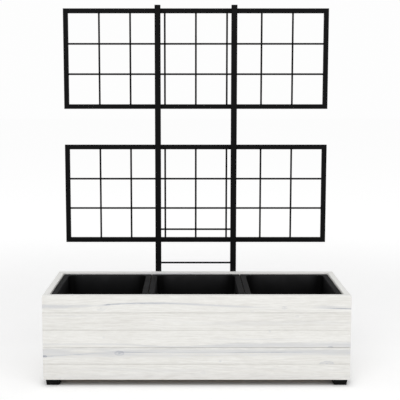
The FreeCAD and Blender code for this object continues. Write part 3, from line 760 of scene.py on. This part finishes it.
def mixed(tree, factor, first, second):
    """Two colours mixed by the factor."""
    def full(value):
        return value if isinstance(value, bpy.types.NodeSocket) else (*value, 1.0)
    made = node(tree, "ShaderNodeMix", {0: factor, 6: full(first), 7: full(second)}, data_type="RGBA")
    return made.outputs[2]


def noise(tree, vector, scale, detail=2.0, roughness=0.5):
    """Noise whose scale along each axis is in waves for each metre."""
    stretched = vector_maths(tree, "MULTIPLY", vector, scale)
    made = node(tree, "ShaderNodeTexNoise", {"Vector": stretched, "Scale": 1.0, "Detail": detail,
                                             "Roughness": roughness})
    return made.outputs[0]


def bumped(tree, height, distance):
    return node(tree, "ShaderNodeBump", {"Height": height, "Distance": distance}).outputs["Normal"]


def effect(name, setting, build):
    """The node group of the name, with a vector and one setting as its inputs. On first use,
    build(tree, vector, setting) makes it and gives its outputs by name."""
    if name not in bpy.data.node_groups:
        tree = bpy.data.node_groups.new(name, "ShaderNodeTree")
        for socket, kind in (("Vector", "NodeSocketVector"), (setting, "NodeSocketFloat")):
            tree.interface.new_socket(socket, in_out="INPUT", socket_type=kind)
        given = tree.nodes.new("NodeGroupInput").outputs
        outputs = build(tree, given["Vector"], given[setting])
        for socket in outputs:
            tree.interface.new_socket(socket, in_out="OUTPUT", socket_type="NodeSocketFloat")
        connect(tree, tree.nodes.new("NodeGroupOutput").inputs, outputs)
    return bpy.data.node_groups[name]


def build_grain(tree, vector, spacing):
    """Timber grain, used by the washed and by the bare timber.

    The vector runs along the log, then across it. Rings are a sine of the distance from the log's heart
    divided by their spacing, bent by slow noise. Fibre is noise drawn out along the log, coarse and fine, and
    flecks are short rough streaks between the two.
    """
    heart = vector_maths(tree, "LENGTH", vector_maths(tree, "MULTIPLY", vector, (0.0, 1.0, 1.0)))
    bend = maths(tree, "MULTIPLY", noise(tree, vector, (2.2, 14.0, 14.0)), 0.014)
    turns = maths(tree, "DIVIDE", maths(tree, "ADD", heart, bend), spacing)
    wave = maths(tree, "SINE", maths(tree, "MULTIPLY", turns, 2 * math.pi))
    rings = maths(tree, "POWER", sloped(tree, wave, 0.5, 0.5), 2.5)
    fine = noise(tree, vector, (38.0, 1100.0, 1100.0), 3.0, 0.6)
    return {"Rings": rings, "Fine fibre": fine, "Fibre": noise(tree, vector, (7.0, 210.0, 210.0)),
            "Patches": noise(tree, vector, (4.0, 26.0, 26.0)),
            "Flecks": noise(tree, vector, (26.0, 170.0, 170.0), 3.0, 0.65),
            "Height": weighted(tree, 0.0, (fine, 0.6), (rings, 0.4))}


def build_texture(tree, vector, scale):
    """Fine moulded or sprayed texture: noise at the scale, and slow noise for patches of uneven sheen."""
    return {"Height": noise(tree, scaled(tree, vector, scale), (1.0, 1.0, 1.0)),
            "Patches": noise(tree, vector, (14.0, 14.0, 14.0), 3.0, 0.55)}


def grain_at(tree, vector):
    return node(tree, "ShaderNodeGroup", {"Vector": vector, "Ring spacing": settings("timber").ring_spacing},
                node_tree=effect("timber grain", "Ring spacing", build_grain)).outputs


def texture_at(tree, scale):
    return node(tree, "ShaderNodeGroup", {"Vector": object_place(tree), "Scale": scale},
                node_tree=effect("fine texture", "Scale", build_texture)).outputs


def material(name, build, *values):
    """The material of the name. On first use, build(tree, *values) makes it and gives its shader's inputs."""
    if name not in bpy.data.materials:
        made = bpy.data.materials.new(name)
        made.use_nodes = True
        tree = made.node_tree
        shader = next(n for n in tree.nodes if n.type == "BSDF_PRINCIPLED")
        connect(tree, shader.inputs, build(tree, *values))
    return bpy.data.materials[name]


def streak_shade(tree, fibre, flecks):
    """For each of the three streaks its strength times a smooth step of the distance off its line, roughened
    by the fibre and the flecks. The flecks also weaken and strengthen the sum."""
    ragged = maths(tree, "ADD", sloped(tree, fibre, 1.1, -0.55), sloped(tree, flecks, 1.3, -0.65))
    off, strength = (axes_of(tree, attribute(tree, name)) for name in ("streak_off", "streak_strength"))
    total = 0.0
    for axis in "XYZ":
        distance = maths(tree, "ABSOLUTE", maths(tree, "ADD", off[axis], ragged))
        total = weighted(tree, total, (between(tree, distance, 0.2, 1.45, 1.0, 0.0), strength[axis]))
    return maths(tree, "MULTIPLY", total, maths(tree, "ADD", flecks, 0.5))


def knot_shade(tree, flecks):
    """The nearest knot's strength times its shade, drawn from the distance in radii: rings as a sine, a dark
    outline and a dark heart."""
    knot = attribute(tree, "knot")
    radius = vector_maths(tree, "LENGTH", vector_maths(tree, "MULTIPLY", knot, (1.0, 1.0, 0.0)))
    radius = maths(tree, "ADD", radius, maths(tree, "SUBTRACT", flecks, 0.5))
    inside = between(tree, radius, 0.75, 1.2, 1.0, 0.0)
    rings = sloped(tree, maths(tree, "SINE", maths(tree, "MULTIPLY", radius, 13.0)), 0.5, 0.5)
    off_edge = maths(tree, "ABSOLUTE", maths(tree, "SUBTRACT", radius, 0.95))
    heart = between(tree, radius, 0.0, 0.4, 0.55, 0.0)
    shade = weighted(tree, heart, (sloped(tree, rings, 0.25, 0.25), inside),
                     (between(tree, off_edge, 0.0, 0.28, 1.0, 0.0), 0.42))
    return maths(tree, "MULTIPLY", shade, axes_of(tree, knot)["Z"])


def build_washed(tree):
    """Whitewashed boards. The wash is the board's tone plus weighted parts of the grain, and mixes the warm
    timber with the pale. Over it lie streaks and knots, cracks, the joints, the rim's top face, painted
    greyer as the shade of an upward face, and the end grain."""
    timber = settings("timber")
    grain = grain_at(tree, attribute(tree, "log"))
    rings, fibre, fine, patches, flecks = (
        grain[name] for name in ("Rings", "Fibre", "Fine fibre", "Patches", "Flecks"))
    place = axes_of(tree, attribute(tree, "place"))
    wash = weighted(tree, place["Z"], (between(tree, fibre, 0.28, 0.72), 0.35),
                    (between(tree, patches, 0.3, 0.7), 0.20), (between(tree, flecks, 0.3, 0.7), 0.40),
                    (fine, 0.20), (rings, -0.22))
    colours = mixed(tree, maths(tree, "ADD", wash, 0.05, clamp=True), timber.warm, timber.pale)
    shade = maths(tree, "ADD", streak_shade(tree, fibre, flecks), knot_shade(tree, flecks))
    layers = ((shade, 0.85, timber.stain),
              (maths(tree, "SUBTRACT", shade, 0.9), 0.55, timber.dark),
              (attribute(tree, "seam", "Fac"), sloped(tree, fine, 0.6, 0.7), timber.crevice),
              # Painted shade: the rim's top face greyer in patches.
              (place["X"], sloped(tree, patches, 0.5, 0.6), timber.rim),
              (place["Y"], sloped(tree, rings, 0.35, 0.35), timber.warm))
    for value, weight, tint in layers:
        colours = mixed(tree, maths(tree, "MULTIPLY", value, weight, clamp=True), colours, tint)
    return {"Base Color": colours, "Roughness": between(tree, fine, 0.3, 0.7, 0.62, 0.78),
            "Specular IOR Level": TIMBER_SPECULAR,
            "Normal": bumped(tree, grain["Height"], timber.grain_depth)}


def build_bare(tree, order):
    """Bare softwood for the timber inside. The order says which axes run along and across the log."""
    timber = settings("timber")
    axes = axes_of(tree, object_place(tree))
    turned = node(tree, "ShaderNodeCombineXYZ", dict(zip("XYZ", (axes[a] for a in order)))).outputs["Vector"]
    grain = grain_at(tree, vector_maths(tree, "ADD", turned, HEART_AWAY))
    late = weighted(tree, 0.0, (grain["Rings"], 0.55), (grain["Fibre"], 0.25), (grain["Fine fibre"], 0.2))
    return {"Base Color": mixed(tree, late, timber.inner_pale, timber.inner_dark),
            "Roughness": between(tree, grain["Fibre"], 0.3, 0.7, 0.6, 0.75),
            "Specular IOR Level": TIMBER_SPECULAR,
            "Normal": bumped(tree, grain["Height"], timber.grain_depth)}


def build_black(tree, tint, roughness, scale, depth, specular, painted_shade=None):
    """A black finish with a fine texture, whose colour and sheen vary a little in slow patches. Where an
    attribute of painted shade is named, the colour is multiplied by it."""
    texture = texture_at(tree, scale)
    lighter = [min(1.0, 1.5 * c) for c in tint]
    colours = mixed(tree, between(tree, texture["Patches"], 0.3, 0.75), tint, lighter)
    if painted_shade:
        colours = scaled(tree, colours, attribute(tree, painted_shade, "Fac"))
    return {"Base Color": colours, "Specular IOR Level": specular,
            "Roughness": between(tree, texture["Patches"], 0.25, 0.75, roughness - 0.05, roughness + 0.07),
            "Normal": bumped(tree, texture["Height"], depth)}


def build_zinc(tree, zinc):
    """Zinc plate: metal whose colour and roughness vary in fine crystals and slow stains."""
    texture = texture_at(tree, 420.0)
    return {"Base Color": mixed(tree, texture["Height"], zinc, [0.8 * c for c in zinc]), "Metallic": 1.0,
            "Roughness": between(tree, texture["Patches"], 0.3, 0.7, 0.28, 0.42),
            "Normal": bumped(tree, texture["Height"], 0.03 * MM)}


def powder_coat():
    metal = settings("metal")
    return material("black powder coat", build_black, metal.coat, metal.coat_roughness, 1100.0, 0.04 * MM,
                    0.07)


def liner_plastic():
    plastic = settings("plastic")
    # The liner's colour is multiplied by its pale attribute, the painted shade inside the tub.
    return material("liner plastic", build_black, plastic.liner, plastic.liner_roughness, 700.0, 0.04 * MM,
                    0.08, "pale")


def foot_plastic():
    plastic = settings("plastic")
    return material("foot plastic", build_black, plastic.foot, plastic.foot_roughness, 900.0, 0.05 * MM, 0.08)


def refinish(nodes, finish):
    """Gives the frame's own solids a material in their material slots."""
    for name in nodes:
        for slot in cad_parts[name].material_slots:
            slot.material = finish


# ---- Stage ----
def bare_tree(owner):
    """The empty node tree of a new world or material."""
    owner.use_nodes = True
    owner.node_tree.nodes.clear()
    return owner.node_tree


def surroundings(strength):
    """A white world, of the backdrop's strength to the camera and of its own to everything else."""
    world = bpy.data.worlds.new("surroundings")
    tree = bare_tree(world)
    seen = node(tree, "ShaderNodeLightPath").outputs["Is Camera Ray"]
    light = node(tree, "ShaderNodeBackground", {"Color": WHITE, "Strength": sloped(
        tree, seen, BACKDROP - strength, strength)})
    node(tree, "ShaderNodeOutputWorld", {"Surface": light.outputs[0]})
    return world


def floor_finish():
    """A matt floor, whiter to the camera than to the light, with the painted shadow and the glow of their
    tables.

    The place past the box's outline is its distance from the middle, without its sign, less the half size.
    """
    front, back = corners_of("front_board_1")[0], corners_of("back_board_1")[1]
    finish = bpy.data.materials.new("floor")
    tree = bare_tree(finish)
    seen = node(tree, "ShaderNodeLightPath").outputs["Is Camera Ray"]
    place = vector_maths(tree, "SUBTRACT", object_place(tree), (0.0, (front[1] + back[1]) / 2, 0.0))
    beyond = vector_maths(tree, "SUBTRACT", vector_maths(tree, "ABSOLUTE", place),
                          (back[0], (back[1] - front[1]) / 2, 0.0))
    axes = axes_of(tree, beyond)
    # Painted shadow: the floor darker under the box.
    shade = two_steps(tree, maths(tree, "MAXIMUM", axes["X"], axes["Y"]), *UNDER_SHADE)
    away = vector_maths(tree, "LENGTH", vector_maths(tree, "MAXIMUM", beyond, (0.0, 0.0, 0.0)))
    tint = mixed(tree, seen, [FLOOR_TO_LIGHT] * 3, WHITE[:3])
    matt = node(tree, "ShaderNodeBsdfDiffuse", {"Color": scaled(tree, tint, shade)})
    # The glow is weaker near the box, which paints a soft shadow round it.
    glow = node(tree, "ShaderNodeEmission", {"Color": WHITE, "Strength": maths(
        tree, "MULTIPLY", seen, two_steps(tree, away, *FLOOR_GLOW))})
    both = node(tree, "ShaderNodeAddShader", {0: matt.outputs[0], 1: glow.outputs[0]})
    node(tree, "ShaderNodeOutputMaterial", {"Surface": both.outputs[0]})
    return finish


# ---- Operators ----
class PLANTER_OT_stage(bpy.types.Operator):
    """Set up the camera, the lights, the white surroundings and the floor"""
    bl_idname = "planter.stage"
    bl_label = "Stage"

    def execute(self, context):
        stage = settings("stage")
        scene = context.scene
        lens = bpy.data.cameras.new("camera")
        lens.lens = stage.lens
        lens.sensor_width = 36.0
        lens.shift_x = stage.shift_x
        lens.shift_y = stage.shift_y
        lens.clip_end = 200.0
        scene.camera = placed("camera", lens, stage.camera)
        scene.camera.rotation_euler = (math.pi / 2 - stage.pitch, 0.0, 0.0)
        scene.view_settings.view_transform = "Standard"
        scene.world = surroundings(stage.world)

        half = stage.floor_size / 2
        mesh = bpy.data.meshes.new("floor")
        mesh.from_pydata([(x * half, y * half, 0) for x, y in CORNERS], [], [(0, 1, 2, 3)])
        mesh.materials.append(floor_finish())
        placed("floor", mesh)

        for name, place, power in (("key", KEY_PLACE, stage.key),
                                   ("fill", FILL_PLACE, stage.key * FILL_SHARE)):
            lamp = bpy.data.lights.new(name, "AREA")
            lamp.shape = "SQUARE"
            lamp.size = LAMP_SIZE
            lamp.energy = power
            aim = LAMP_AIM - np.array(place)
            placed(name, lamp, place).rotation_euler = (math.atan2(np.hypot(aim[0], aim[1]), -aim[2]), 0.0,
                                                        math.atan2(aim[1], aim[0]) - math.pi / 2)
        return {"FINISHED"}


class PLANTER_OT_boards(bpy.types.Operator):
    """Make the twenty whitewashed boards of the four walls"""
    bl_idname = "planter.boards"
    bl_label = "Boards"

    def execute(self, context):
        washed = material("whitewashed timber", build_washed)
        for seed, wall in enumerate(("front", "back", "left", "right")):
            rng = np.random.default_rng(FIRST_SEED + seed)
            for course in range(COURSES):
                board = board_skin(wall, course, rng, settings("timber"))
                piece(f"{wall}_wall_board_{course + 1}", [board], washed, ROOT,
                      [f"{wall}_board_{course + 1}"])
        return {"FINISHED"}


class PLANTER_OT_inner_timber(bpy.types.Operator):
    """Give the corner posts, battens, bearers and floor panels their bare timber"""
    bl_idname = "planter.inner_timber"
    bl_label = "Inner timber"

    def execute(self, context):
        for name, order, words in INNER_TIMBER:
            refinish([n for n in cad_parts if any(word in n for word in words)],
                     material(name, build_bare, order))
        return {"FINISHED"}


class PLANTER_OT_feet(bpy.types.Operator):
    """Make the four moulded feet"""
    bl_idname = "planter.feet"
    bl_label = "Feet"

    def execute(self, context):
        for end in ENDS:
            for side in SIDES:
                low, high, middle = corners_of(f"foot_{end}_{side}")
                foot = foot_rings((high - low)[0] / 2, high[2]) + [middle[0], middle[1], 0.0]
                piece(f"{end}_{side}_foot", [skin(foot)], foot_plastic(), ROOT,
                      [f"foot_{end}_{side}"])
        return {"FINISHED"}


class PLANTER_OT_liners(bpy.types.Operator):
    """Make the three moulded liners with their drain holes"""
    bl_idname = "planter.liners"
    bl_label = "Liners"

    def execute(self, context):
        for third in ("left", "middle", "right"):
            low, high, middle = corners_of(f"liner_{third}")
            # pale is the painted shade inside the tub: lighter near the rim, darker deep down and in the
            # corners.
            rings, pale = liner_rings(low, high, settings("plastic").bow)
            made = piece(f"{third}_tub", [skin(rings, pale=pale)], liner_plastic(),
                         f"{third}_liner", [f"liner_{third}"])
            holes = [(middle[0] + sx * DRAIN_HALF_PITCH, middle[1] + sy * DRAIN_HALF_PITCH)
                     for sx in (-1, 1) for sy in (-1, 1)]
            bored(made, holes, DRAIN_RADIUS, low[2] - 2 * MM, low[2] + 8 * MM)
        return {"FINISHED"}


class PLANTER_OT_posts(bpy.types.Operator):
    """Make the two square posts, their caps and the rungs between them"""
    bl_idname = "planter.posts"
    bl_label = "Posts and rungs"

    def execute(self, context):
        caps = []
        faces = []
        for side in SIDES:
            low, high, (x, y, _) = corners_of(f"trellis_post_{side}")
            half = (high - low)[0] / 2
            rings = square_tube(half, POST_WALL, POST_CORNER, [low[2], high[2]]) + [x, y, 0.0]
            coated(f"{side}_post", [skin(rings, joined=True)], f"trellis_post_{side}")
            caps += [post_cap(x, y, high[2], 1, half), post_cap(x, y, low[2], -1, half)]
            faces.append(x - SIDES[side] * half)
        piece("post_caps", caps, foot_plastic(), ROOT, ["post_end_caps"])
        low, high, _ = corners_of("ladder_rungs")
        count = round((high[2] - low[2] - 2 * ROD_RADIUS) / RUNG_PITCH) + 1
        rungs = [rod((faces[0], y, z), (faces[1], y, z)) for z in rod_heights(low, high, count)]
        coated("rungs", rungs, "ladder_rungs")
        return {"FINISHED"}


class PLANTER_OT_panels(bpy.types.Operator):
    """Make the bars, the rods and their welds of the two trellis panels"""
    bl_idname = "planter.panels"
    bl_label = "Panels"

    def execute(self, context):
        for panel in ("lower_panel", "upper_panel"):
            for bar in ("top_bar", "bottom_bar", "left_bar", "right_bar"):
                coated(f"{panel}_{bar}_tube", [mitred_bar(f"{panel}_{bar}")], f"{panel}_{bar}", BAR_CREASE)
            low, high, (_, y, _) = corners_of(f"{panel}_vertical_rods")
            coated(f"{panel}_upright_rods", [rod((x, y, low[2]), (x, y, high[2])) for x in ROD_XS],
                   f"{panel}_vertical_rods")
            low, high, (_, back_y, _) = corners_of(f"{panel}_horizontal_rods")
            heights = rod_heights(low, high, LEVEL_RODS)
            level = [rod((low[0], back_y, z), (high[0], back_y, z)) for z in heights]
            welds = [ball((x, (y + back_y) / 2, z), SPOT_WELD) for x in ROD_XS for z in heights]
            coated(f"{panel}_level_rods", level + welds, f"{panel}_horizontal_rods")
        return {"FINISHED"}


class PLANTER_OT_fasteners(bpy.types.Operator):
    """Finish the screws, bolts and cap nuts"""
    bl_idname = "planter.fasteners"
    bl_label = "Fasteners"

    def execute(self, context):
        refinish(["wood_screws", "post_bolts"], material("zinc plate", build_zinc, settings("metal").zinc))
        refinish(["post_cap_nuts", "panel_screws"], powder_coat())
        return {"FINISHED"}


class PLANTER_PT_panel(bpy.types.Panel):
    """Lists the planter's settings and its steps"""
    bl_idname = "PLANTER_PT_panel"
    bl_label = "Planter with trellis"
    bl_space_type = "VIEW_3D"
    bl_region_type = "UI"
    bl_category = "Planter"

    def draw(self, context):
        for operator in OPERATORS:
            self.layout.operator(operator.bl_idname)
        for kind, group in GROUPS.items():
            box = self.layout.box()
            box.label(text=kind.capitalize())
            for name in group.__annotations__:
                box.prop(settings(kind), name, text=name.replace("_", " ").capitalize())


GROUPS = {"timber": TimberSettings, "plastic": PlasticSettings, "metal": MetalSettings,
          "stage": StageSettings}
OPERATORS = (PLANTER_OT_stage, PLANTER_OT_boards, PLANTER_OT_inner_timber, PLANTER_OT_feet, PLANTER_OT_liners,
             PLANTER_OT_posts, PLANTER_OT_panels, PLANTER_OT_fasteners)


def register():
    for kind, group in GROUPS.items():
        bpy.utils.register_class(group)
        setattr(bpy.types.Scene, "planter_" + kind, bpy.props.PointerProperty(type=group))
    for made in (*OPERATORS, PLANTER_PT_panel):
        bpy.utils.register_class(made)


def unregister():
    for made in (PLANTER_PT_panel, *reversed(OPERATORS)):
        bpy.utils.unregister_class(made)
    for kind, group in GROUPS.items():
        delattr(bpy.types.Scene, "planter_" + kind)
        bpy.utils.unregister_class(group)


def main():
    register()
    bpy.ops.planter.stage()
    bpy.ops.planter.boards()
    bpy.ops.planter.inner_timber()
    bpy.ops.planter.feet()
    bpy.ops.planter.liners()
    bpy.ops.planter.posts()
    bpy.ops.planter.panels()
    bpy.ops.planter.fasteners()


if __name__ == "__main__":
    main()
